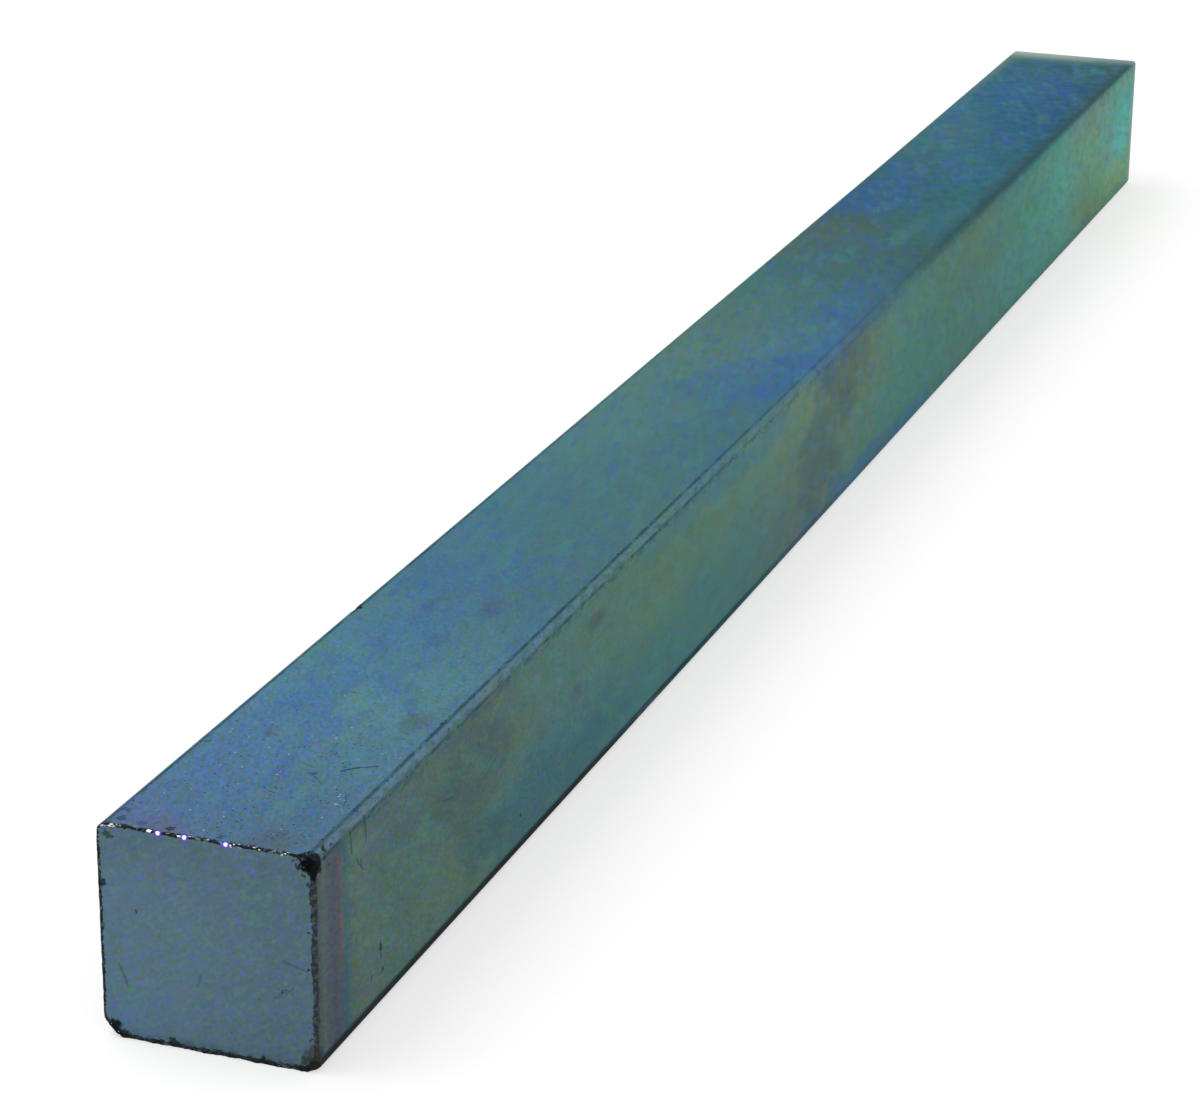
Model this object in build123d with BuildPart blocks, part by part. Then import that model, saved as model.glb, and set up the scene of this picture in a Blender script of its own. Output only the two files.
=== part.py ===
"""Square parallel key, cut from zinc-plated cold-drawn key steel.

One solid bar. +X runs along the key from the sawn end to the cropped end, +Z is up,
and the origin is at the middle of the face that the key rests on.
"""

import os

from build123d import *

# ---- Driving dimensions, in millimetres ----
KEY_WIDTH = 19.05  # across the two side faces, the size that fits the keyway: 3/4 in
KEY_HEIGHT = 19.05  # from the seat face to the top face: 3/4 in
KEY_LENGTH = 304.8  # 12 in
DRAWN_CORNER_RADIUS = 0.9  # left on the four long corners by the drawing die

SAWN_END_BREAK = 0.25  # worn break round the sawn end
CROPPED_END_RADIUS = 0.4  # softened edge round the cropped end

ROLLOVER_LENGTH = 3.5  # how far back the crop pulled the top face down
ROLLOVER_DEPTH = 0.55  # how far the top face drops at the cropped end

# Chipped corners of the sawn end: depth of each facet, square to it, from the sharp corner.
CHIP_TOP_RIGHT_DEPTH = 1.0
CHIP_BOTTOM_LEFT_DEPTH = 0.9
CHIP_BOTTOM_RIGHT_DEPTH = 0.75
CHIP_TOOL_SIDE = 6.0  # side of the tool that takes a chip, wider than any facet

NICK_FROM_SAWN_END = 50.6  # handling nick in the top left long corner
NICK_CURVE_RADIUS = 3.5  # radius of the edge that struck it
NICK_DEPTH = 0.25  # depth below the rounded corner
NICK_TOOL_SPAN = 6.0  # span of the tool that cuts the nick, wider than the corner

# ---- Places worked out from the sizes above ----
SAWN_END_X = -KEY_LENGTH / 2
CROPPED_END_X = KEY_LENGTH / 2
LEFT_FACE_Y = KEY_WIDTH / 2
RIGHT_FACE_Y = -KEY_WIDTH / 2
# From the sharp corner of the section to the middle of its drawn radius.
CORNER_SETBACK = DRAWN_CORNER_RADIUS * (2**0.5 - 1)


with BuildPart() as key_bar:
    # The drawn bar: a square with rounded corners, cut to length.
    with BuildSketch(Plane.YZ.offset(SAWN_END_X)) as drawn_section:
        with Locations((0, KEY_HEIGHT / 2)):
            RectangleRounded(KEY_WIDTH, KEY_HEIGHT, DRAWN_CORNER_RADIUS)
    extrude(amount=KEY_LENGTH)

    # The cropping blade pulled the top face down in an arc that leaves it smoothly.
    rollover_start = (CROPPED_END_X - ROLLOVER_LENGTH, KEY_HEIGHT)
    rollover_end = (CROPPED_END_X, KEY_HEIGHT - ROLLOVER_DEPTH)
    above_the_end = (CROPPED_END_X, KEY_HEIGHT)
    with BuildSketch(Plane.XZ) as rollover_waste:
        with BuildLine():
            TangentArc(rollover_start, rollover_end, tangent=(1, 0))
            Polyline(rollover_end, above_the_end, rollover_start)
        make_face()
    extrude(amount=KEY_WIDTH / 2, both=True, mode=Mode.SUBTRACT)

    # Edge breaks round the two ends.
    chamfer(key_bar.edges().group_by(Axis.X)[0], SAWN_END_BREAK)
    cropped_outline = key_bar.faces().sort_by(Axis.X)[-1].edges()
    fillet(cropped_outline, CROPPED_END_RADIUS)

    # Three corners of the sawn end are chipped, each to a facet facing out of its corner.
    for side_y, seat_z, chip_depth in (
        (RIGHT_FACE_Y, KEY_HEIGHT, CHIP_TOP_RIGHT_DEPTH),
        (LEFT_FACE_Y, 0, CHIP_BOTTOM_LEFT_DEPTH),
        (RIGHT_FACE_Y, 0, CHIP_BOTTOM_RIGHT_DEPTH),
    ):
        sharp_corner = Vector(SAWN_END_X, side_y, seat_z)
        outward_y = 1 if side_y > 0 else -1
        outward_z = 1 if seat_z > 0 else -1
        facet_normal = Vector(-1, outward_y, outward_z).normalized()
        facet = Plane(origin=sharp_corner - facet_normal * chip_depth, z_dir=facet_normal)
        with BuildSketch(facet):
            Rectangle(CHIP_TOOL_SIDE, CHIP_TOOL_SIDE)
        extrude(amount=chip_depth, mode=Mode.SUBTRACT)

    # A nick knocked into the top left long corner, round like the edge that struck it.
    nick_outward = Vector(0, 1, 1).normalized()
    long_corner = Vector(SAWN_END_X + NICK_FROM_SAWN_END, LEFT_FACE_Y, KEY_HEIGHT)
    nick_centre = long_corner + nick_outward * (NICK_CURVE_RADIUS - CORNER_SETBACK - NICK_DEPTH)
    with BuildSketch(Plane(origin=nick_centre, x_dir=(1, 0, 0), z_dir=(0, 1, -1))):
        Circle(NICK_CURVE_RADIUS)
    extrude(amount=NICK_TOOL_SPAN / 2, both=True, mode=Mode.SUBTRACT)

key_bar.part.label = "key_bar"

os.makedirs("parts", exist_ok=True)
export_step(key_bar.part, "parts/key_bar.step")
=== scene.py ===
"""Square parallel key of zinc-plated key steel, lying on its seat face.

Row frame in metres: +X runs from the sawn end to the cropped end, +Z is up, and the
origin is at the middle of the seat face. Sizes below are in millimetres.
"""

import math

import bpy
import numpy as np
from mathutils import Matrix, Vector


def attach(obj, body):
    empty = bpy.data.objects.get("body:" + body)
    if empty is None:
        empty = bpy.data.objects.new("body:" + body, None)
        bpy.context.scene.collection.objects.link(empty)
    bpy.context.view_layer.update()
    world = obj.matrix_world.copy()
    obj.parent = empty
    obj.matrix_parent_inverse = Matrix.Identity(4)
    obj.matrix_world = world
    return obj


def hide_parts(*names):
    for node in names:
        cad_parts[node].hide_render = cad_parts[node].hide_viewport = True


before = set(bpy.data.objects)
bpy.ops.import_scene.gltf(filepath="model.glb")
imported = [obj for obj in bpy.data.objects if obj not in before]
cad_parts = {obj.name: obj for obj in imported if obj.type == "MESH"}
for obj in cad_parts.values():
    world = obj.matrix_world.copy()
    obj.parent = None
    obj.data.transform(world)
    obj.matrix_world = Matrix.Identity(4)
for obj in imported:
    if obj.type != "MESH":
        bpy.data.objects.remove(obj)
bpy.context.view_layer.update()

MM = 0.001

# ---- Sizes shared with the solid ----
SIDE = 19.05
HALF = SIDE / 2
LENGTH = 304.8
SAWN_X = -LENGTH / 2
CROPPED_X = LENGTH / 2
CORNER_RADIUS = 0.9
ROLLOVER_LENGTH = 3.5
NICK_FROM_SAWN_END = 50.6
NICK_CURVE_RADIUS = 3.5

# ---- Edges that are crisper here than on the solid ----
ROLLOVER_DEPTH = 0.05
CROPPED_RADIUS = 0.12
CROPPED_CORNER_RADIUS = 0.5  # what the long corners sharpen to at the cropped end
SHARPENS_FROM = 230.0  # where they start to, from the sawn end
NICK_DEPTH = 0.09

# ---- The broken rim of the sawn end ----
RIM_ON_SIDES = 0.17
RIM_ON_FACE = 0.26
RIM_BULGE = 0.055  # the build-up rounds the edge out by this much
RIM_BITE = 0.05  # depth of the breaks in it
RIM_FADES_BY = 3.1  # where the last of its rings lies, from the sawn end

# Chipped corners of the sawn end: side, height, depth of the facet, roughness of its break.
CHIPS = (
    (-HALF, SIDE, 1.0, 0.10),
    (HALF, 0.0, 0.92, 0.12),
    (-HALF, 0.0, 0.75, 0.07),
)

# ---- Mesh density ----
ARC_STEPS = 5  # from a flat to the middle of a rounded corner
FLAT_STEPS = 110
SIDE_STEPS = FLAT_STEPS + 2 * ARC_STEPS
RING = 4 * SIDE_STEPS
CAP_INSET = 1.8  # where the rings round an end give way to a square grid
SAWN, CROPPED, RIM = 3, 4, 5  # columns of painted values, after x, y and z


# ---------------------------------------------------------------- the bar's surface
def wave_noise(points, size, seed):
    """Smooth noise from -1 to 1 at each point, with features about `size` mm across."""
    rng = np.random.default_rng(seed)
    total = np.zeros(len(points))
    for _ in range(14):
        direction = rng.normal(size=3)
        direction *= 2 * math.pi / size * rng.uniform(0.5, 1.6) / np.linalg.norm(direction)
        total += np.sin(points @ direction + rng.uniform(0, 2 * math.pi))
    return np.clip(total / 5.0, -1, 1)


def section_rings(radius):
    """The bar's outline and the square that it shrinks to on an end, as rings of (y, z)."""
    frames = (((-1, 0), (0, 1)), ((0, 1), (1, 0)), ((1, 0), (0, -1)), ((0, -1), (-1, 0)))
    flat = HALF - radius
    outline, square = [], []
    for normal, along in frames:
        normal, along = np.array(normal, float), np.array(along, float)
        for step in range(SIDE_STEPS):
            turn = 0.0
            centre = normal * flat + along * flat * (2 * (step - ARC_STEPS) / FLAT_STEPS - 1)
            if step < ARC_STEPS:
                turn = math.radians(-45 + 45 * step / ARC_STEPS)
                centre = normal * flat - along * flat
            elif step > ARC_STEPS + FLAT_STEPS:
                turn = math.radians(45 * (step - ARC_STEPS - FLAT_STEPS) / ARC_STEPS)
                centre = normal * flat + along * flat
            outline.append(centre + radius * (normal * math.cos(turn) + along * math.sin(turn)))
            spread = (HALF - CAP_INSET) * (2 * step / SIDE_STEPS - 1)
            square.append(normal * (HALF - CAP_INSET) + along * spread)
    return np.array(outline) + (0.0, HALF), np.array(square) + (0.0, HALF)


def corner_distance():
    """How far each ring point is from the middle of the nearest long corner, along the surface."""
    arc = CORNER_RADIUS * math.pi / 4
    gaps = []
    for step in range(SIDE_STEPS):
        back = min(step, SIDE_STEPS - step)
        if back <= ARC_STEPS:
            gaps.append(arc * back / ARC_STEPS)
        else:
            gaps.append(arc + (back - ARC_STEPS) * (SIDE - 2 * CORNER_RADIUS) / FLAT_STEPS)
    return np.tile(np.array(gaps), 4)


def flank_share():
    """1 on the two side faces, 0 on top and seat, and a smooth turn round each corner."""
    share = []
    for side in range(4):
        flat = 1.0 if side in (0, 2) else 0.0
        for step in range(SIDE_STEPS):
            back = min(step, SIDE_STEPS - step)
            turn = max(0.0, 1 - back / ARC_STEPS) * 0.5
            share.append(flat + (1 - 2 * flat) * turn)
    return np.array(share)


def build_bar():
    """The whole bar as one closed mesh, with the values that its material is painted by."""
    outline, square = section_rings(CORNER_RADIUS)
    sharp = section_rings(CROPPED_CORNER_RADIUS)[0]
    rows = []  # each row: x, y, z of one ring, then its painted values

    # How wide the broken rim is at each point round the sawn end, on the sides and on the face.
    sample = np.column_stack([np.zeros(RING), outline])
    on_side = RIM_ON_SIDES + 0.08 * wave_noise(sample, 3.2, 3) + 0.08 * wave_noise(sample, 0.7, 5)
    on_face = RIM_ON_FACE + 0.08 * wave_noise(sample, 2.6, 7) + 0.09 * wave_noise(sample, 0.6, 9)
    # It runs narrower and straighter along the top and the left, wider on the right and seat.
    by_top, by_seat = outline[:, 1] > SIDE - 0.5, outline[:, 1] < 0.5
    by_left, by_right = outline[:, 0] > HALF - 0.5, outline[:, 0] < -HALF + 0.5
    top_width = 0.11 + 0.35 * (on_face - 0.2)
    left_width = 0.24 + 0.5 * (on_face - RIM_ON_FACE)
    on_face = np.where(by_top, top_width, np.where(by_left, left_width, on_face))
    on_side = np.where(by_top | by_left, 0.12 + 0.5 * (on_side - RIM_ON_SIDES), on_side)
    on_face += 0.10 * by_right + 0.22 * by_seat
    on_side = np.clip(on_side, 0.06, 0.5)
    on_face = np.clip(on_face, 0.10, 0.7)

    def add_ring(x, yz, sawn_face=0.0, cropped_face=0.0, rim=0.0):
        block = np.zeros((RING, 6))
        block[:, 0] = x
        block[:, 1:3] = yz
        block[:, SAWN] = sawn_face
        block[:, CROPPED] = cropped_face
        block[:, RIM] = rim
        rows.append(block)

    def inset_by(amount, ring=outline):
        """The outline moved in by its own amount at each point."""
        share = (np.asarray(amount) / CAP_INSET)[:, None]
        return ring * (1 - share) + square * share

    # Sawn end: cap rings from the square grid outwards, the broken rim, then the first sides.
    add_ring(SAWN_X, square, sawn_face=1.0)
    for share in np.linspace(1.0, 0.12, 9)[1:]:
        amount = on_face + (CAP_INSET - on_face) * share**1.4
        add_ring(SAWN_X, inset_by(amount), sawn_face=1.0, rim=np.clip(1.2 - share * 5, 0, 1) * 0.8)
    for step in range(13):
        share = step / 12
        bulge = RIM_BULGE * math.sin(math.pi * share)
        rough = sample + np.array([share * 0.8, 0, 0])
        bite = RIM_BITE * wave_noise(rough, 0.8, 21) * math.sin(math.pi * share)
        amount = np.clip(on_face * (1 - share) - bulge * 0.4 + np.maximum(bite, -0.01), 0, 0.7)
        x = SAWN_X + np.clip(on_side * share - bulge * 0.4 + np.maximum(bite, -0.01), 0, 0.7)
        add_ring(x, inset_by(amount), sawn_face=1 - share, rim=1.0)
    for from_end in np.arange(0.5, RIM_FADES_BY, 0.19):
        past_rim = from_end - 0.36
        x = SAWN_X + on_side + past_rim * (RIM_FADES_BY - on_side) / (RIM_FADES_BY - 0.36)
        add_ring(x, outline, rim=np.clip(1 - past_rim / 0.5, 0, 1) * 0.8)
    # The length of the bar, with close rings at the nick and along the rollover.
    stations = np.concatenate([
        np.arange(3.7, 10, 0.9),
        np.arange(11, 48.5, 3.4),
        np.arange(49.0, 52.3, 0.2),
        np.arange(55, 300, 12.0),
        np.arange(301.2, LENGTH - CROPPED_RADIUS, 0.28),
    ])
    for from_end in stations:
        share = max(from_end - SHARPENS_FROM, 0.0) / (LENGTH - SHARPENS_FROM)
        add_ring(SAWN_X + from_end, outline * (1 - share) + sharp * share)
    # Cropped end: the rounded edge, then cap rings in to the square grid.
    for step in range(9):
        turn = math.radians(90 * step / 8)
        x = CROPPED_X - CROPPED_RADIUS * (1 - math.sin(turn))
        amount = np.full(RING, CROPPED_RADIUS * (1 - math.cos(turn)))
        add_ring(x, inset_by(amount, sharp), cropped_face=step / 8)
    for share in (0.1, 0.3, 0.6, 1.0):
        amount = np.full(RING, CROPPED_RADIUS + (CAP_INSET - CROPPED_RADIUS) * share)
        add_ring(CROPPED_X, inset_by(amount, sharp), cropped_face=1.0)

    shell = np.concatenate(rows)
    index = np.arange(RING)
    following = (index + 1) % RING
    quads = []
    for here in range(0, len(shell) - RING, RING):
        there = here + RING
        corners = [here + index, there + index, there + following, here + following]
        quads.append(np.column_stack(corners))

    def cap_grid(ring_start, x, painted, extra_start):
        """The square grid inside an end ring: its own points, and its quads."""
        size = SIDE_STEPS
        lookup = -np.ones((size + 1, size + 1), int)
        steps = np.arange(size)
        lookup[0, steps] = ring_start + steps
        lookup[steps, size] = ring_start + size + steps
        lookup[size, size - steps] = ring_start + 2 * size + steps
        lookup[size - steps, 0] = ring_start + 3 * size + steps
        inner = np.arange(1, size)
        grid_i, grid_j = np.meshgrid(inner, inner, indexing="ij")
        own = extra_start + np.arange((size - 1) ** 2)
        lookup[1:size, 1:size] = own.reshape(size - 1, size - 1)
        block = np.zeros(((size - 1) ** 2, 6))
        span = HALF - CAP_INSET
        block[:, 0] = x
        block[:, 1] = (-span + 2 * span * grid_i / size).ravel()
        block[:, 2] = (-span + 2 * span * grid_j / size).ravel() + HALF
        block[:, painted] = 1.0
        a, b = lookup[:-1, :-1], lookup[1:, :-1]
        c, d = lookup[1:, 1:], lookup[:-1, 1:]
        order = (a, d, c, b) if painted == SAWN else (a, b, c, d)
        return block, np.column_stack([part.ravel() for part in order])

    sawn_cap, sawn_quads = cap_grid(0, SAWN_X, SAWN, len(shell))
    cropped_cap, cropped_quads = cap_grid(
        len(shell) - RING, CROPPED_X, CROPPED, len(shell) + len(sawn_cap))
    table = np.concatenate([shell, sawn_cap, cropped_cap])
    quads = np.concatenate(quads + [sawn_quads, cropped_quads])
    points = table[:, 0:3]

    # The crop pulled the top face down over its last few millimetres.
    back = np.clip((points[:, 0] - (CROPPED_X - ROLLOVER_LENGTH)) / ROLLOVER_LENGTH, 0, 1)
    height = np.clip((points[:, 2] - HALF) / HALF, 0, 1)
    points[:, 2] -= ROLLOVER_DEPTH * back**2 * height**3

    # Chipped corners, each a rough facet facing out of its corner.
    for side_y, seat_z, depth, roughness in CHIPS:
        corner = np.array([SAWN_X, side_y, seat_z])
        outward = np.array([-1, math.copysign(1, side_y), 1 if seat_z > 0 else -1]) / math.sqrt(3)
        height = (points - corner) @ outward
        rough = roughness * (wave_noise(points, 1.1, 31) + 0.6 * wave_noise(points, 0.45, 33))
        over = height + depth - np.minimum(rough, roughness * 0.3)
        cut = over > 0
        points[cut] -= over[cut, None] * outward
        broken = np.clip(1.0 + over / 0.25, 0, 1)
        table[:, RIM] = np.maximum(table[:, RIM], broken)

    # The nick in the top left long corner.
    diagonal = np.array([0, 1, 1]) / math.sqrt(2)
    along = points[:, 0] - (SAWN_X + NICK_FROM_SAWN_END) + 0.12 * wave_noise(points, 0.9, 41)
    inside = np.abs(along) < NICK_CURVE_RADIUS
    drop = np.zeros(len(points))
    drop[inside] = np.sqrt(NICK_CURVE_RADIUS**2 - along[inside] ** 2)
    drop[inside] += NICK_DEPTH - NICK_CURVE_RADIUS
    setback = CORNER_RADIUS * (math.sqrt(2) - 1)
    height = (points - np.array([0, HALF, SIDE])) @ diagonal
    over = height + setback + drop
    cut = (drop > 0) & (over > 0)
    points[cut] -= over[cut, None] * diagonal
    nicked = np.where(cut, np.clip(over / 0.03, 0, 1), 0.0)

    # Nothing stands outside the bar's own outline.
    points[:, 0] = np.clip(points[:, 0], SAWN_X, CROPPED_X)
    points[:, 1] = np.clip(points[:, 1], -HALF, HALF)
    points[:, 2] = np.clip(points[:, 2], 0, SIDE)

    mesh = bpy.data.meshes.new("key_bar_plated")
    mesh.vertices.add(len(points))
    mesh.vertices.foreach_set("co", (points * MM).astype(np.float32).ravel())
    mesh.loops.add(len(quads) * 4)
    mesh.loops.foreach_set("vertex_index", quads.astype(np.int32).ravel())
    mesh.polygons.add(len(quads))
    mesh.polygons.foreach_set("loop_start", np.arange(0, len(quads) * 4, 4, dtype=np.int32))
    mesh.update(calc_edges=True)
    mesh.validate()
    mesh.polygons.foreach_set("use_smooth", np.ones(len(mesh.polygons), bool))

    on_an_end = table[:, SAWN] + table[:, CROPPED] > 0.5
    painted = {
        "sawn_face": table[:, SAWN],
        "cropped_face": table[:, CROPPED],
        "rim": table[:, RIM],
        "nick": nicked,
        "flank": np.resize(flank_share(), len(table)),
        "corner_gap": np.where(on_an_end, 5.0, np.resize(corner_distance(), len(table))),
    }
    for name, values in painted.items():
        layer = mesh.attributes.new(name, "FLOAT", "POINT")
        layer.data.foreach_set("value", values.astype(np.float32))
    bar = bpy.data.objects.new("key_bar_plated", mesh)
    bpy.context.collection.objects.link(bar)
    return bar


# ---------------------------------------------------------------- materials
FLOOR_GLOW = 0.55  # the share of the floor's white that is its own, so that it stays even


def linear(hex_colour):
    """An sRGB hex colour as the linear RGBA that the shader sockets take."""
    channels = [int(hex_colour[i:i + 2], 16) / 255 for i in (1, 3, 5)]
    return [c / 12.92 if c <= 0.04045 else ((c + 0.055) / 1.055) ** 2.4 for c in channels] + [1.0]


def add(tree, kind, inputs=None, **settings):
    """Add one node, set its properties, and fill its sockets with values, hex or links."""
    node = tree.nodes.new(kind)
    for name, value in settings.items():
        if name == "stops":
            ramp = node.color_ramp
            for place, colour in value[1:-1]:
                ramp.elements.new(place).color = colour
            ramp.elements[0].position, ramp.elements[0].color = value[0]
            ramp.elements[-1].position, ramp.elements[-1].color = value[-1]
        else:
            setattr(node, name, value)
    for socket, value in (inputs or {}).items():
        if isinstance(value, bpy.types.NodeSocket):
            tree.links.new(value, node.inputs[socket])
        else:
            node.inputs[socket].default_value = linear(value) if isinstance(value, str) else value
    return node


def on_end(across, down):
    """A point on the sawn face, in mm from its left and top edges."""
    return (SAWN_X, HALF - across, SIDE - down)


def on_top(along, across):
    """A point on the top face, in mm from the sawn end and from the left edge."""
    return (SAWN_X + along, HALF - across, SIDE)


def on_right(along, down):
    """A point on the right face, in mm from the sawn end and from the top edge."""
    return (SAWN_X + along, -HALF, SIDE - down)


# Stains, dark spots, painted shade and painted glints: middle, radius in mm, colour, strength.
SPOTS = (
    (on_end(18.6, 0.65), 0.85, "#040405", 1.0),
    (on_end(18.9, 1.5), 0.5, "#0a0a0b", 0.95),
    (on_end(17.7, 0.9), 0.30, "#0d0e10", 0.9),
    (on_end(17.2, 0.55), 0.16, "#101215", 0.85),
    (on_end(17.9, 1.7), 0.14, "#14171a", 0.8),
    (on_end(18.6, 2.4), 0.30, "#1f1a1c", 0.7),
    (on_end(0.8, 18.2), 0.95, "#07090b", 0.97),
    (on_end(1.6, 18.6), 0.55, "#0c0f11", 0.9),
    # Painted glints on the broken corner.
    (on_end(0.75, 17.75), 0.13, "#dfe6ea", 0.9),
    (on_end(1.35, 18.35), 0.10, "#c9d4dc", 0.85),
    (on_end(18.7, 17.5), 1.0, "#332f22", 0.65),
    (on_end(18.0, 17.9), 0.50, "#2b281d", 0.55),
    (on_end(18.7, 18.3), 0.65, "#15140f", 0.85),
    (on_end(17.7, 18.7), 0.35, "#15140f", 0.80),
    (on_end(18.4, 16.2), 0.18, "#121314", 0.9),
    (on_end(18.2, 14.9), 0.14, "#121314", 0.9),
    (on_end(18.35, 9.9), 0.16, "#121314", 0.9),
    (on_end(18.3, 6.6), 0.20, "#1b1c1e", 0.85),
    (on_end(18.5, 4.2), 0.16, "#1b1c1e", 0.85),
    (on_end(1.0, 0.9), 0.4, "#262d33", 0.7),
    (on_end(0.35, 5.3), 0.42, "#14181c", 0.9),
    (on_end(14.2, 18.6), 0.4, "#101316", 0.9),
    (on_end(6.3, 18.8), 0.7, "#14181b", 0.85),
    (on_end(3.4, 7.3), 0.15, "#1d2830", 0.85),
    (on_end(16.2, 12.1), 0.16, "#222c38", 0.8),
    (on_end(14.0, 13.2), 0.10, "#262f3c", 0.8),
    (on_end(5.3, 9.1), 0.10, "#262f3c", 0.7),
    (on_end(12.8, 5.6), 0.10, "#262f3c", 0.7),
    (on_end(3.4, 10.4), 0.10, "#262f3c", 0.7),
    (on_end(3.3, 1.9), 0.14, "#2b3843", 0.6),
    (on_right(0.8, 1.2), 0.5, "#0f0f10", 0.95),
    (on_right(1.9, 0.8), 0.2, "#161616", 0.9),
    (on_right(2.6, 1.7), 0.15, "#1c1c1c", 0.8),
    (on_right(8.9, 4.3), 0.35, "#3f4b46", 0.7),
    (on_right(12.6, 13.6), 0.35, "#2f3b3a", 0.75),
    (on_right(12.8, 15.8), 0.3, "#35413e", 0.7),
    (on_right(10.6, 15.4), 0.3, "#3b4744", 0.65),
    (on_right(44.5, 15.2), 0.22, "#222d30", 0.85),
    (on_top(14.8, 12.3), 0.4, "#4c4f55", 0.7),
    (on_top(17.8, 1.3), 0.22, "#0f1b26", 0.9),
    # Painted shade in the nick on the top left corner.
    ((SAWN_X + 49.7, HALF - 0.4, SIDE - 0.1), 0.42, "#040607", 1.0),
    ((SAWN_X + 50.6, HALF - 0.6, SIDE - 0.1), 0.55, "#040607", 1.0),
    ((SAWN_X + 51.5, HALF - 0.4, SIDE - 0.1), 0.42, "#040607", 1.0),
    ((SAWN_X + 2.3, -HALF + 0.3, SIDE - 0.3), 0.35, "#15181a", 0.85),
    ((SAWN_X + 3.4, -HALF + 0.3, SIDE - 0.3), 0.22, "#1d2123", 0.8),
    ((SAWN_X + 0.4, HALF, SIDE - 1.0), 0.40, "#c3ccc8", 0.8),
    (on_top(0.9, 6.2), 0.35, "#121517", 0.9),
    (on_top(1.4, 1.6), 0.55, "#33393c", 0.6),
    (on_top(3.0, 1.2), 0.40, "#33393c", 0.55),
    (on_top(1.1, 3.6), 0.40, "#3b4145", 0.5),
    (on_top(1.0, 10.6), 0.35, "#32383d", 0.6),
    (on_top(9.4, 16.9), 0.13, "#1b2429", 0.9),
    (on_top(10.1, 17.3), 0.11, "#1b2429", 0.9),
    (on_top(8.6, 16.2), 0.11, "#222c31", 0.9),
    # Painted glints among the pits.
    (on_top(9.9, 16.5), 0.10, "#dfe8ea", 0.9),
    (on_top(9.0, 17.4), 0.08, "#dfe8ea", 0.9),
)

# Scratches: start, end, half width in mm, colour, strength.
SCRATCHES = (
    (on_end(1.6, 12.2), on_end(2.3, 14.0), 0.09, "#35404c", 0.45),
    (on_end(16.2, 9.5), on_end(18.0, 9.9), 0.11, "#3b4752", 0.45),
    (on_end(15.2, 12.9), on_end(17.0, 11.7), 0.09, "#3c4956", 0.35),
    (on_end(8.6, 13.0), on_end(8.9, 12.0), 0.09, "#3d4a5e", 0.4),
    (on_end(6.0, 3.7), on_end(8.0, 3.8), 0.12, "#435470", 0.35),
    (on_top(16.1, 14.2), on_top(17.2, 15.2), 0.10, "#2d302f", 0.8),
    (on_top(17.2, 15.2), on_top(18.0, 16.6), 0.09, "#33383a", 0.75),
    (on_top(9.8, 17.2), on_top(11.3, 16.8), 0.05, "#2f3a40", 0.5),
    (on_top(11.3, 16.8), on_top(12.4, 16.2), 0.05, "#2f3a40", 0.4),
    (on_top(13.0, 13.9), on_top(14.6, 12.3), 0.08, "#454a52", 0.4),
    (on_right(6.9, 0.7), on_right(7.1, 2.6), 0.13, "#343733", 0.5),
    (on_right(9.7, 0.6), on_right(10.0, 2.7), 0.14, "#343733", 0.55),
    (on_right(8.0, 3.6), on_right(9.2, 5.0), 0.07, "#3b4541", 0.6),
    (on_right(12.5, 12.9), on_right(12.7, 14.6), 0.08, "#2f3a38", 0.7),
    (on_right(26.2, 6.2), on_right(28.5, 6.8), 0.08, "#3b4b4c", 0.6),
    (on_right(36.0, 7.9), on_right(39.0, 7.0), 0.08, "#3a4a4c", 0.5),
)

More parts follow.
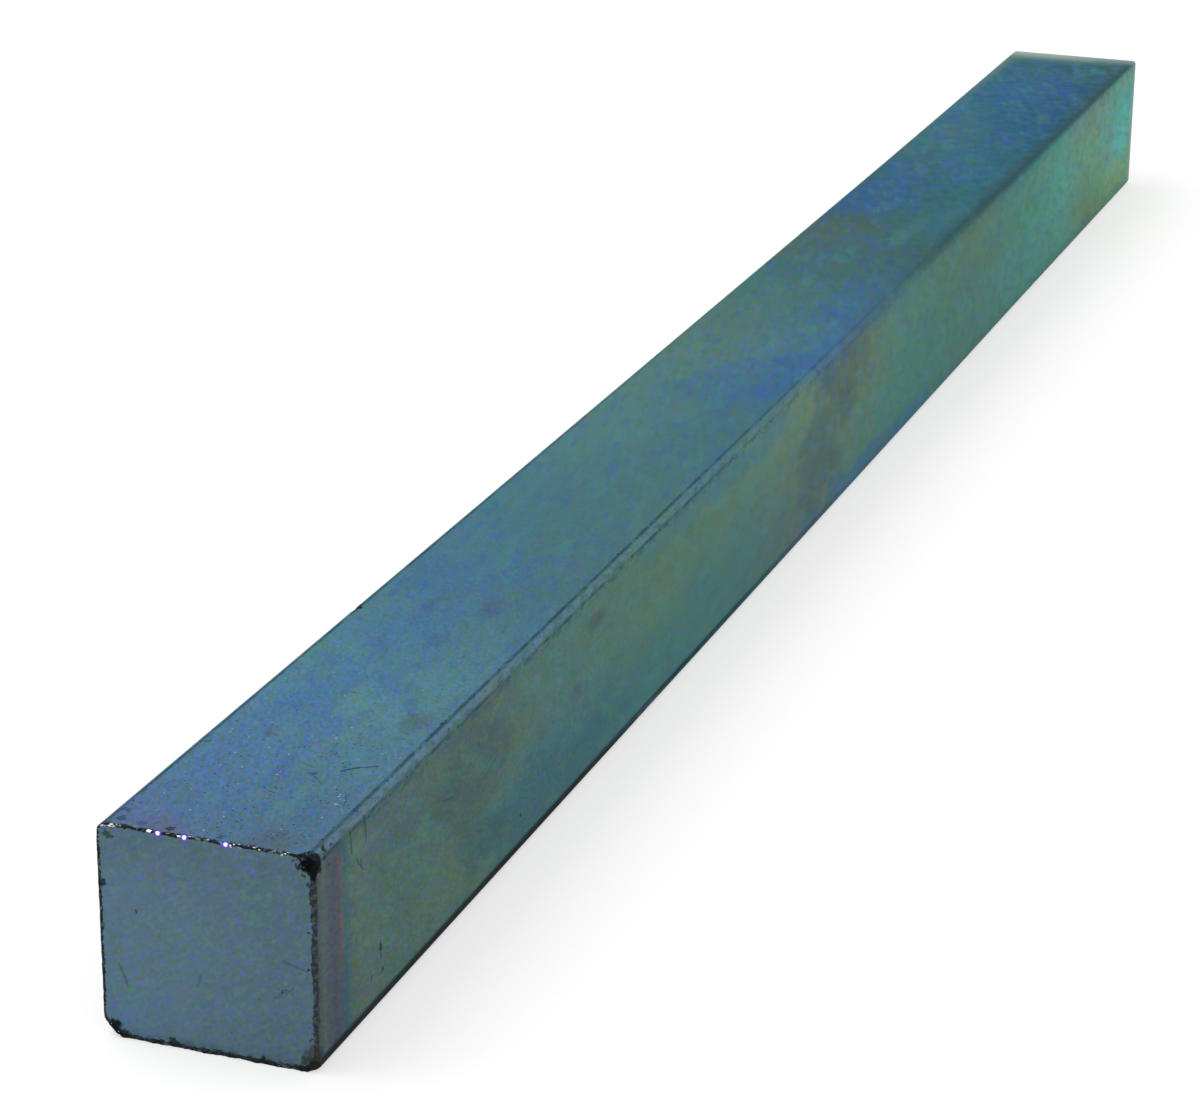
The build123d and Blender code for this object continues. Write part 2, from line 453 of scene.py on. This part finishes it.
# Film patches: middle, reach along X and across in mm, colour, strength.
PATCHES = (
    (on_top(1.2, 5), (2.4, 5), "#6b5f7c", 0.45),
    (on_top(1.2, 14), (2.2, 4), "#5f5e66", 0.45),
    (on_top(20, 5), (20, 7), "#4f6cb0", 0.35),
    (on_top(48, 7), (26, 6), "#4a6fa8", 0.30),
    (on_top(118, 6), (24, 7), "#58827c", 0.40),
    (on_top(128, 10), (9, 5), "#4a6f9c", 0.45),
    (on_top(140, 17), (16, 3), "#3f62a4", 0.55),
    (on_top(165, 16.5), (16, 4), "#42649a", 0.40),
    (on_top(182, 8), (15, 8), "#4f6a68", 0.50),
    (on_top(214, 5), (20, 6), "#3a60a0", 0.50),
    (on_top(236, 12), (16, 6), "#3a6a92", 0.35),
    (on_top(258, 3.5), (14, 4), "#4b7a76", 0.40),
    (on_top(282, 8), (16, 7), "#3560a0", 0.45),
    (on_right(18, 8), (8, 7), "#55705a", 0.35),
    (on_right(33, 9), (9, 9), "#43555c", 0.45),
    (on_right(52, 15), (20, 6), "#3f6470", 0.45),
    (on_right(80, 4), (30, 4), "#5c7862", 0.40),
    (on_right(104, 2.2), (26, 2), "#47769a", 0.40),
    (on_right(138, 9), (13, 8), "#4e5f5e", 0.60),
    (on_right(150, 4), (12, 4), "#565f60", 0.55),
    (on_right(160, 17.5), (28, 2), "#3f66a0", 0.50),
    (on_right(200, 9), (28, 7), "#4f7c6c", 0.35),
    (on_right(232, 14), (16, 5), "#4f8488", 0.35),
    (on_right(262, 3.5), (24, 3), "#6f8f66", 0.50),
    (on_right(286, 8), (14, 6), "#66a09c", 0.50),
    (on_right(293, 16), (10, 4), "#8ba45e", 0.45),
    (on_right(298, 7), (7, 7), "#5fc0b2", 0.70),
    (on_right(284, 2.5), (9, 2.5), "#84907c", 0.45),
    (on_right(298, 1.8), (9, 1.7), "#93a394", 0.60),
    (on_right(268, 2), (14, 1.5), "#7f9080", 0.45),
    (on_right(277, 7), (7, 4), "#6cb054", 0.45),
    (on_right(282, 13), (6, 3), "#6aa66a", 0.35),
    (on_right(240, 6), (14, 4), "#5c8c62", 0.35),
    (on_end(7.0, 3.6), (1, 0.8), "#46587a", 0.35),
    (on_right(64.5, 3.3), (2.4, 1.2), "#5a4f4d", 0.55),
    (on_right(59, 9.1), (2, 1), "#5e5a58", 0.45),
    (on_top(53.6, 6.6), (2.4, 1.1), "#5b5268", 0.45),
    (on_top(55, 12.4), (2.6, 1.2), "#545766", 0.45),
    (on_top(46, 10.8), (2.2, 1), "#58507a", 0.40),
    (on_top(21.5, 5.5), (1.6, 0.9), "#5d5560", 0.45),
    (on_top(27.2, 16), (2.2, 1.2), "#615c66", 0.45),
)

# Colour of the film along each face: (mm from the sawn end, colour).
FILM_TOP_LEFT = (
    (4, "#607798"), (30, "#64908e"), (60, "#597e90"), (85, "#557d86"), (120, "#66867a"),
    (150, "#627d6d"), (172, "#50796f"), (190, "#5c654d"), (212, "#396063"), (240, "#467072"),
    (262, "#326981"), (296, "#33666a"),
)
FILM_TOP_RIGHT = (
    (4, "#59768c"), (30, "#618895"), (60, "#54767e"), (90, "#567975"), (120, "#50757f"),
    (145, "#567d89"), (185, "#476657"), (205, "#3d706b"), (232, "#2b676b"), (258, "#285b7c"),
    (280, "#255773"), (300, "#2c5746"),
)
FILM_FLANK_UPPER = (
    (8, "#667065"), (16, "#5a6a68"), (34, "#656f5d"), (55, "#607b71"), (85, "#6c8461"),
    (112, "#6d8a65"), (132, "#768967"), (150, "#787c4c"), (172, "#5f8771"), (208, "#677d58"),
    (236, "#508e75"), (258, "#58a789"), (276, "#7e9570"), (292, "#67ad88"),
)
FILM_FLANK_LOWER = (
    (8, "#647365"), (16, "#5f736a"), (34, "#667a60"), (52, "#577577"), (85, "#557d74"),
    (112, "#5b7e78"), (135, "#737a65"), (152, "#65846b"), (172, "#568572"), (208, "#60846c"),
    (236, "#5c997a"), (258, "#5f9c81"), (276, "#778f55"), (292, "#7aa96c"),
)
FILM_BY_SAWN_END = (
    (0, "#4f525d"), (1.5, "#60655d"), (2.5, "#5a5b5e"), (3.5, "#5d5d5b"), (4.3, "#616253"),
    (5.0, "#546161"), (5.5, "#45606c"), (6.1, "#526769"), (7.2, "#626e5c"), (8.4, "#5f6b58"),
)
# The film's colours by the cropped end, paling into the painted highlight on its rounded edge.
FILM_AND_HIGHLIGHT_BY_CROPPED_END = (
    (294, "#436b7a"), (297, "#4a7272"), (299, "#587a6e"), (301, "#809384"), (302.5, "#a0ad9e"),
    (304.3, "#b9c1b8"),
)


def plated_steel():
    """Blue-passivated zinc plate on cold-drawn steel.

    The chromate film gives thin-film blue, teal and olive patches over a satin metal. The
    tank leaves fine pits and grains, densest by the sawn end, and a dark rough build-up on
    the broken rim.
    """
    material = bpy.data.materials.new("zinc_plated_steel")
    material.use_nodes = True
    tree = material.node_tree
    tree.nodes.clear()

    place = add(tree, "ShaderNodeTexCoord").outputs["Object"]
    mm = add(tree, "ShaderNodeVectorMath", {0: place, "Scale": 1 / MM},
             operation="SCALE").outputs[0]
    axis = add(tree, "ShaderNodeSeparateXYZ", {0: mm}).outputs
    across, height = axis["Y"], axis["Z"]  # mm to the left of the middle, mm above the seat
    on_sawn_face, on_cropped_face, on_rim, in_nick, on_flank, corner_gap = (
        add(tree, "ShaderNodeAttribute", attribute_name=name).outputs["Fac"]
        for name in ("sawn_face", "cropped_face", "rim", "nick", "flank", "corner_gap")
    )

    def level(*terms, by="MULTIPLY"):
        """The terms joined by one kind of arithmetic, a product unless `by` says otherwise.

        A term is a number, a socket, or (value, low, high), eased from 0 where the value is
        at `low` to 1 where it is at `high`. Two more numbers give other ends than 0 and 1.
        """
        joined = None
        for term in terms:
            if isinstance(term, tuple):
                value, low, high, start, stop = term if len(term) == 5 else (*term, 0.0, 1.0)
                reach = {"Value": value, "From Min": low, "From Max": high,
                         "To Min": start, "To Max": stop}
                term = add(tree, "ShaderNodeMapRange", reach,
                           interpolation_type="SMOOTHSTEP").outputs[0]
            if joined is not None:
                term = add(tree, "ShaderNodeMath", {0: joined, 1: term}, operation=by).outputs[0]
            joined = term
        return joined

    def lay(tint, under, *terms):
        """A tint laid over the colour under it, as strongly as the level of the terms."""
        layer = {0: level(*terms), 6: under, 7: tint}
        return add(tree, "ShaderNodeMix", layer, data_type="RGBA").outputs[2]

    def mottle(size, detail=3.0, seed=0.0, stretch=1.0, lean=0.0, output="Fac"):
        """Mottling `size` mm across, drawn out along the bar and turned by `lean` degrees."""
        lean = math.radians(lean)
        spread = {0: mm, "Location": (seed * 37.1, seed * 11.3, seed * 5.7),
                  "Rotation": (0, lean, lean), "Scale": (size * stretch, size, size)}
        spread = add(tree, "ShaderNodeMapping", spread, vector_type="TEXTURE").outputs[0]
        grains = {"Vector": spread, "Scale": 1.0, "Detail": detail, "Roughness": 0.55}
        return add(tree, "ShaderNodeTexNoise", grains).outputs[output]

    from_sawn = level(axis["X"], -SAWN_X, by="ADD")  # mm from the sawn end

    def along_bar(film, low=0, high=LENGTH):
        """The colours of a film, laid from `low` to `high` mm from the sawn end."""
        reach = {"Value": from_sawn, "From Min": low, "From Max": high}
        reach = add(tree, "ShaderNodeMapRange", reach).outputs[0]
        stops = [((at - low) / (high - low), linear(colour)) for at, colour in film]
        return add(tree, "ShaderNodeValToRGB", {0: reach}, stops=stops).outputs["Color"]

    on_right_flank = level(on_flank, (across, -5.0, -8.0))

    # Slow colour change along the faces, and across each of them.
    drift = add(tree, "ShaderNodeMath", {0: mottle(14.0, seed=1, stretch=2.0), 1: 10.0, 2: -5.0},
                operation="MULTIPLY_ADD").outputs[0]
    top = lay(along_bar(FILM_TOP_RIGHT), along_bar(FILM_TOP_LEFT),
              (level(across, drift, by="ADD"), 6.0, -6.0))
    flank = lay(along_bar(FILM_FLANK_UPPER), along_bar(FILM_FLANK_LOWER),
                (level(height, drift, by="ADD"), 4.0, 15.0))
    wavering = add(tree, "ShaderNodeMath", {0: mottle(3.0, seed=2), 1: 3.0, 2: from_sawn},
                   operation="MULTIPLY_ADD").outputs[0]
    flank = lay(along_bar(FILM_BY_SAWN_END, 0, 9), flank, on_right_flank, (wavering, 10.0, 8.5))
    colour = lay(flank, top, on_flank)

    # Film patches one by one, with cloudy edges.
    cloud = mottle(5.0, detail=4.0, seed=3, stretch=1.6)
    for middle, (reach_along, reach_across), tint, strength in PATCHES:
        closeness = (1 / reach_along, 1 / reach_across, 1 / reach_across)
        away = add(tree, "ShaderNodeVectorMath", {0: mm, 1: middle},
                   operation="SUBTRACT").outputs[0]
        away = add(tree, "ShaderNodeVectorMath", {0: away, 1: closeness},
                   operation="MULTIPLY").outputs[0]
        away = add(tree, "ShaderNodeVectorMath", {0: away}, operation="LENGTH").outputs["Value"]
        away = level(away, (cloud, 0.25, 0.75, -0.45, 0.45), by="ADD")
        colour = lay(tint, colour, (away, 1.15, 0.35), strength)

    # Thin-film mottling over the whole bar: green, violet, blue and warm grey flecks.
    for size, seed, tint, strength, strength_on_flank in (
        (7.0, 4, "#4f7d6a", 0.18, 1.0), (3.6, 5, "#4060a8", 0.25, 0.35),
        (2.2, 6, "#5c9a90", 0.25, 1.0), (1.6, 7, "#6a6070", 0.22, 1.0),
        (1.1, 8, "#3f8058", 0.28, 1.0), (0.9, 9, "#3c50b8", 0.28, 0.35),
    ):
        fleck = level((mottle(size, seed=seed, stretch=5, lean=15), 0.50, 0.70),
                      (from_sawn, 60.0, 240.0, 0.85, 1.2),
                      (on_flank, 0.0, 1.0, 1.0, strength_on_flank))
        colour = lay(tint, colour, fleck, strength, (from_sawn, 2.0, 9.0, 0.4, 1.0))
    straw = level(on_flank, (mottle(1.0, seed=30, stretch=5, lean=15), 0.48, 0.70),
                  (from_sawn, 2.0, 9.0, 0.2, 1.0))
    colour = lay("#6f8048", colour, straw, 0.25)

    # The sawn face has its own slate blue, bluer low on the left, greyer to the right.
    face = lay("#4e6672", "#546e7d", (across, 6.0, -9.0))
    face = lay("#4f6672", face, (height, 13.0, 19.0))
    face = lay("#4d7088", face, (across, 0.0, 9.0), (height, 7.0, 1.0), 0.6)
    face = lay("#5a5ea8", face, (mottle(0.6, detail=1.0, seed=10), 0.54, 0.70, 0, 0.40))
    face = lay("#4f8068", face, (mottle(0.7, detail=1.0, seed=11), 0.52, 0.70, 0, 0.40))
    face = lay("#5a6a78", face, (mottle(2.6, seed=35), 0.45, 0.70, 0, 0.25))
    slant = {0: mm, "Rotation": (math.radians(28), 0, 0)}
    slant = add(tree, "ShaderNodeMapping", slant).outputs[0]
    slant = add(tree, "ShaderNodeMapping", {0: slant, "Scale": (1, 0.5, 3.4)}).outputs[0]
    saw_lines = {"Vector": slant, "Scale": 1.0, "Detail": 3.0}
    saw_lines = add(tree, "ShaderNodeTexNoise", saw_lines).outputs["Fac"]
    face = lay("#62808c", face, (saw_lines, 0.45, 0.7, 0, 0.12))
    face = lay("#435a70", face, (saw_lines, 0.5, 0.3, 0, 0.10))
    colour = lay(face, colour, on_sawn_face)

    # Warm and violet thin-film bands on the right flank, 2 to 6 mm from the sawn end.
    colour = lay("#83654a", colour, on_right_flank, (height, 5.0, 10.0),
                 (mottle(2.2, seed=12), 0.3, 0.55),
                 (from_sawn, 4.1, 4.6), (from_sawn, 5.7, 5.0), 0.5)
    colour = lay("#50456a", colour, on_right_flank, (from_sawn, 2.4, 3.4),
                 (from_sawn, 5.6, 4.4), (mottle(2.0, seed=13), 0.25, 0.5), 0.38)

    # Grain of the plate in blue, green and violet. The real grain is under 0.1 mm. It is drawn
    # at 0.33 mm by the sawn end and 0.8 mm beyond the middle, so that it shows.
    fine = mottle(0.33, detail=1.0, seed=14, stretch=2.8, lean=21, output="Color")
    coarse = mottle(0.8, detail=1.0, seed=15, stretch=6.5, lean=13, output="Color")
    grain = lay(coarse, fine, (from_sawn, 40.0, 160.0))
    calm = level(level(on_sawn_face, 0.5), (from_sawn, 3.0, 110.0, 0.12, 0.50), by="MAXIMUM")
    grain = lay((0.5, 0.5, 0.5, 1.0), grain, calm)
    grain = {0: grain, 1: (1.3, 0.6, 2.4), 2: (0.35, 0.70, -0.20)}  # blue swings the most
    grain = add(tree, "ShaderNodeVectorMath", grain, operation="MULTIPLY_ADD").outputs[0]
    colour = add(tree, "ShaderNodeVectorMath", {0: colour, 1: grain},
                 operation="MULTIPLY").outputs[0]

    # Pits, painted glints of bright grains and rust specks, thick by the sawn end and thinning out
    # over 60 mm.
    near = level((from_sawn, 66.0, 4.0), (on_flank, 0.6, 0.2), (on_sawn_face, 0.5, 0.0))
    specks = []
    # Tint, strength, specks to a millimetre, edge and core of one, and the patches they lie in.
    for tint, strength, per_mm, edge, core, patch_size, seed, bare, thick in (
        ("#1c2830", 0.85, 1.9, 0.24, 0.12, 2.5, 16, 0.42, 0.6),
        # Painted glints: the pale specks.
        ("#b5cfe0", 0.75, 1.3, 0.16, 0.07, 1.8, 17, 0.5, 0.62),
        ("#75605c", 0.5, 0.9, 0.34, 0.1, 3.0, 18, 0.5, 0.62),
    ):
        cells = {"Vector": mm, "Scale": per_mm}
        cells = add(tree, "ShaderNodeTexVoronoi", cells).outputs["Distance"]
        speck = level((cells, edge, core), (mottle(patch_size, seed=seed), bare, thick), near)
        colour = lay(tint, colour, speck, strength)
        specks.append(speck)
    pit = specks[0]

    # The long corners: painted reflection, dark where the radius leaves the flats and paler along
    # the middle.
    crisp = level((from_sawn, 170.0, 70.0, 0.25, 1.0))
    off_line = level(corner_gap, 0.54, by="SUBTRACT")
    off_line = add(tree, "ShaderNodeMath", {0: off_line}, operation="ABSOLUTE").outputs[0]
    broken_line = level((mottle(0.9, seed=34, stretch=3.0), 0.42, 0.58, 0.15, 1.0))
    line = level((off_line, 0.26, 0.07), crisp,
                 (mottle(0.7, seed=19, stretch=2.2), 0.32, 0.6, 0.35, 1.0),
                 lay(broken_line, (1, 1, 1, 1), on_flank))
    colour = lay("#303c44", colour, line, 0.78)
    colour = lay("#3d5668", colour, (corner_gap, 1.7, 0.7), on_right_flank,
                 (mottle(0.5, seed=31, stretch=3.0), 0.46, 0.6), crisp, 0.6)
    colour = lay("#6688a6", colour, (corner_gap, 0.42, 0.15), crisp,
                 (mottle(0.5, detail=1.0, seed=36, stretch=2.5), 0.42, 0.6), 0.5)
    colour = lay("#1b242b", colour, (corner_gap, 1.1, 0.7), crisp,
                 (mottle(0.3, seed=37, stretch=1.6), 0.64, 0.70), 0.8)
    # Further out the right corner carries a soft dark band of painted reflection, and the left one
    # a pale band of painted highlight.
    colour = lay("#3c4a46", colour, (corner_gap, 2.8, 0.4), (from_sawn, 140.0, 230.0),
                 (across, 0.0, -6.0), (on_flank, 0.9, 0.4, 0.3, 1.0), 0.75)
    colour = lay("#768e84", colour, (corner_gap, 2.3, 0.7), (from_sawn, 255.0, 296.0),
                 (across, 0.0, 6.0), (height, 12.0, 17.0), 0.7)
    # A dark band along the seat corners, most near the sawn end: painted contact shadow, with some
    # grime.
    colour = lay("#0f1416", colour, (height, 1.55, 1.12), (from_sawn, 190.0, 60.0),
                 (on_sawn_face, 0.9, 0.3), 0.95)

    # The rolled-over edge of the cropped end turns a paler grey-green: painted highlight where the
    # rounded edge catches the light.
    edge_highlight_at = level(from_sawn, (across, 2.0, -9.0, 0.0, -2.2),
                      (mottle(2.4, seed=38), 0.3, 0.7, -0.8, 0.8), by="ADD")
    colour = lay(along_bar(FILM_AND_HIGHLIGHT_BY_CROPPED_END, 292, 306), colour, (edge_highlight_at, 296.0, 302.0),
                 (on_flank, 0.9, 0.3), (across, -9.0, 4.0, 0.65, 1.0))
    colour = lay("#9aa9a3", colour, (from_sawn, 302.0, 304.6), on_flank, 0.8)
    torn = lay("#6b7c84", "#4c6470", (mottle(1.2, seed=20), 0.4, 0.65))
    colour = lay(torn, colour, on_cropped_face)

    # The broken rim of the sawn end: dark rough build-up, speckled, with painted glints of bright
    # torn grains along its top.
    speckle = mottle(0.22, detail=2.0, seed=21)
    fine_break = add(tree, "ShaderNodeMath", {0: speckle, 1: 1.3, 2: -0.65},
                     operation="MULTIPLY_ADD").outputs[0]
    ragged = level(on_rim, (mottle(0.55, seed=22), 0.25, 0.75, -0.35, 0.35), fine_break,
                   (across, 8.6, 9.2, 0.0, 0.08), by="ADD")
    dark_rim = level((ragged, 0.45, 0.80))
    by_right = level((across, -8.7, -9.2), (height, 17.4, 16.8))
    build_up = lay("#45413a", "#0c0e10", by_right, (mottle(0.5, seed=32), 0.42, 0.62))
    build_up = lay("#515a60", build_up, (mottle(0.35, seed=23), 0.55, 0.68, 0, 0.6),
                   (by_right, 0.0, 1.0, 1.0, 0.15))
    colour = lay(build_up, colour, dark_rim, (by_right, 0.0, 1.0, 0.95, 0.80))
    # The sawn face darkens towards the seat.
    colour = lay("#2b3238", colour, on_sawn_face, (height, 1.3, 0.3),
                 (mottle(0.7, seed=33), 0.35, 0.65), 0.6)
    # Painted glints: white dashes along the top rim.
    glint_dashes = add(tree, "ShaderNodeMapping", {0: mm, "Scale": (4.0, 1.9, 4.0)}).outputs[0]
    glint_dashes = {"Vector": glint_dashes, "Scale": 1.0, "Detail": 1.0}
    glint_dashes = add(tree, "ShaderNodeTexNoise", glint_dashes).outputs["Fac"]
    colour = lay("#eef2f5", colour, dark_rim, (glint_dashes, 0.56, 0.62),
                 (height, 18.2, 18.7, 0.12, 1.0),
                 (mottle(1.4, seed=29), 0.42, 0.56, 0.1, 1.0), (across, -7.6, -7.0))
    # Three painted glints on the top rim, each a white core with a violet flash round it.
    for from_left in (5.5, 7.8, 11.4):
        away = add(tree, "ShaderNodeVectorMath", {0: mm, 1: on_end(from_left, 0.12)},
                   operation="DISTANCE").outputs["Value"]
        colour = lay("#5a48c8", colour, (away, 0.44, 0.22))
        colour = lay("#ffffff", colour, (away, 0.23, 0.12))
    # Painted shade: the nick is painted near black.
    colour = lay("#090b0c", colour, in_nick)

    # Stains, spots and scratches one by one. The shake makes the edges of the spots ragged
    # and those of the scratches uneven.
    shake = mottle(0.45, seed=25, output="Color")
    shake = add(tree, "ShaderNodeVectorMath", {0: shake, 1: (0.5, 0.5, 0.5)},
                operation="SUBTRACT").outputs[0]
    ragged_mm, uneven_mm = (
        add(tree, "ShaderNodeVectorMath", {0: shake, 1: (swing, swing, swing), 2: mm},
            operation="MULTIPLY_ADD").outputs[0]
        for swing in (1.3, 0.25)
    )
    for middle, radius, tint, strength in SPOTS:
        away = add(tree, "ShaderNodeVectorMath", {0: ragged_mm, 1: middle},
                   operation="DISTANCE").outputs["Value"]
        colour = lay(tint, colour, (away, radius * 1.15, radius * 0.7, 0.0, strength))
    for start, end, half_width, tint, strength in SCRATCHES:
        start, run = Vector(start), Vector(end) - Vector(start)
        per_run = run / run.length_squared
        offset = add(tree, "ShaderNodeVectorMath", {0: uneven_mm, 1: start},
                     operation="SUBTRACT").outputs[0]
        part = add(tree, "ShaderNodeVectorMath", {0: offset, 1: per_run},
                   operation="DOT_PRODUCT").outputs["Value"]
        part = add(tree, "ShaderNodeClamp", {0: part}).outputs[0]
        foot = add(tree, "ShaderNodeVectorMath", {0: run, "Scale": part},
                   operation="SCALE").outputs[0]
        away = add(tree, "ShaderNodeVectorMath", {0: offset, 1: foot},
                   operation="DISTANCE").outputs["Value"]
        colour = lay(tint, colour, (away, half_width * 1.8, half_width * 0.6, 0.0, strength))

    # The black build-up, the grime and the painted shade along the seat and in the nick are not
    # metal, and are told by how dark they are.
    lightness = add(tree, "ShaderNodeRGBToBW", {0: colour}).outputs[0]
    dirt_and_shade = level((lightness, 0.035, 0.010))
    # Satin metal: smoother where burnished, rough in the pits, the rim and the stains.
    pitted = level(level(dirt_and_shade, pit, by="MAXIMUM"), 0.8)
    roughness = level((mottle(2.2, seed=26), 0.3, 0.7, 0.34, 0.46), pitted, by="MAXIMUM")
    # The face is grained by the sawn end and lies smooth further out. Pits sink in it, and
    # the build-up on the rim stands out.
    relief = level(mottle(0.5, detail=2.0, seed=27), mottle(2.8, detail=2.0, seed=28), by="ADD")
    relief = level(relief, (from_sawn, 10.0, 80.0, 1.0, 0.03))
    relief = level(relief, level(pit, 1.6), by="SUBTRACT")
    relief = level(relief, level(on_rim, speckle, 2.0), by="ADD")
    bump = {"Height": relief, "Strength": 0.30, "Distance": 0.04 * MM}
    bump = add(tree, "ShaderNodeBump", bump).outputs[0]
    # The film absorbs at a low angle, so the faces keep their colour where bare metal whitens.
    shader = add(tree, "ShaderNodeBsdfPrincipled", {
        "Base Color": colour,
        "Metallic": level((dirt_and_shade, 0.0, 1.0, 1.0, 0.1)),
        "Roughness": roughness,
        "Specular IOR Level": level((dirt_and_shade, 0.0, 1.0, 0.5, 0.12)),
        "Specular Tint": (0.44, 0.57, 0.66, 1.0),
        "Normal": bump,
    })
    add(tree, "ShaderNodeOutputMaterial", {"Surface": shader.outputs[0]})
    return material


def studio_floor():
    """Matt white studio paper: even, near white to the eye, and it keeps the soft shadow."""
    material = bpy.data.materials.new("matt_studio_paper")
    material.use_nodes = True
    tree = material.node_tree
    tree.nodes.clear()
    rays = add(tree, "ShaderNodeLightPath").outputs
    seen = rays["Is Camera Ray"]
    for ray in ("Is Glossy Ray", "Is Transmission Ray"):
        seen = add(tree, "ShaderNodeMath", {0: seen, 1: rays[ray]}, operation="MAXIMUM").outputs[0]
    seen = add(tree, "ShaderNodeMath", {0: seen, 1: FLOOR_GLOW}, operation="MULTIPLY").outputs[0]
    grain = add(tree, "ShaderNodeTexNoise", {"Scale": 900.0, "Detail": 2.0}).outputs["Fac"]
    relief = {"Height": grain, "Strength": 0.05, "Distance": 0.1 * MM}
    relief = add(tree, "ShaderNodeBump", relief).outputs[0]
    matt = {"Base Color": "#f6f6f5", "Roughness": 0.9, "Normal": relief}
    matt = add(tree, "ShaderNodeBsdfPrincipled", matt).outputs[0]
    glow = add(tree, "ShaderNodeEmission", {"Color": (1, 1, 1, 1), "Strength": 1.0}).outputs[0]
    blend = add(tree, "ShaderNodeMixShader", {0: seen, 1: matt, 2: glow})
    add(tree, "ShaderNodeOutputMaterial", {"Surface": blend.outputs[0]})
    return material


# ---------------------------------------------------------------- the key
bar = build_bar()
bar.data.materials.append(plated_steel())
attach(bar, "root")
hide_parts("key_bar")

# ---------------------------------------------------------------- studio, in metres
floor_mesh = bpy.data.meshes.new("studio_floor")
floor_mesh.from_pydata([(-3, -3, 0), (5, -3, 0), (5, 5, 0), (-3, 5, 0)], [], [(0, 1, 2, 3)])
floor = bpy.data.objects.new("studio_floor", floor_mesh)
floor.data.materials.append(studio_floor())
bpy.context.collection.objects.link(floor)

world = bpy.data.worlds.new("studio_surround")
bpy.context.scene.world = world
world.use_nodes = True
world.node_tree.nodes.clear()
surround = add(world.node_tree, "ShaderNodeBackground", {"Color": (1, 1, 1, 1), "Strength": 1.0})
add(world.node_tree, "ShaderNodeOutputWorld", {"Surface": surround.outputs[0]})

# Soft boxes: where each stands, what it aims at, its size and its power in watts.
for name, stand, aim, size, power in (
    ("soft_box_over", (-0.2, 0.5, 0.9), (-0.1, 0, 0), 0.7, 4.0),
    ("soft_box_front", (-0.9, -0.5, 0.5), (-0.1, 0, 0), 0.5, 1.0),
):
    lamp = bpy.data.lights.new(name, "AREA")
    lamp.shape = "SQUARE"
    lamp.size = size
    lamp.energy = power
    box = bpy.data.objects.new(name, lamp)
    box.location = stand
    box.rotation_euler = (Vector(aim) - Vector(stand)).to_track_quat("-Z", "Y").to_euler()
    bpy.context.collection.objects.link(box)

# The camera stands by the sawn end, to its right and above, and looks along the bar.
lens = bpy.data.cameras.new("view_camera")
lens.sensor_fit = "HORIZONTAL"
lens.sensor_width = 36.0
lens.lens = 107.93
camera = bpy.data.objects.new("view_camera", lens)
stand = Vector((-383.90, -115.89, 138.78)) * MM
forward = Vector((0.88185, 0.31631, -0.34971)).normalized()
right = Vector((0.34088, -0.94006, 0.00929))
right = (right - forward * right.dot(forward)).normalized()
up = (-forward).cross(right)
turn = Matrix((right, up, -forward)).transposed().to_4x4()
camera.matrix_world = Matrix.Translation(stand) @ turn
bpy.context.collection.objects.link(camera)
bpy.context.scene.camera = camera
bpy.context.scene.view_settings.view_transform = "Standard"
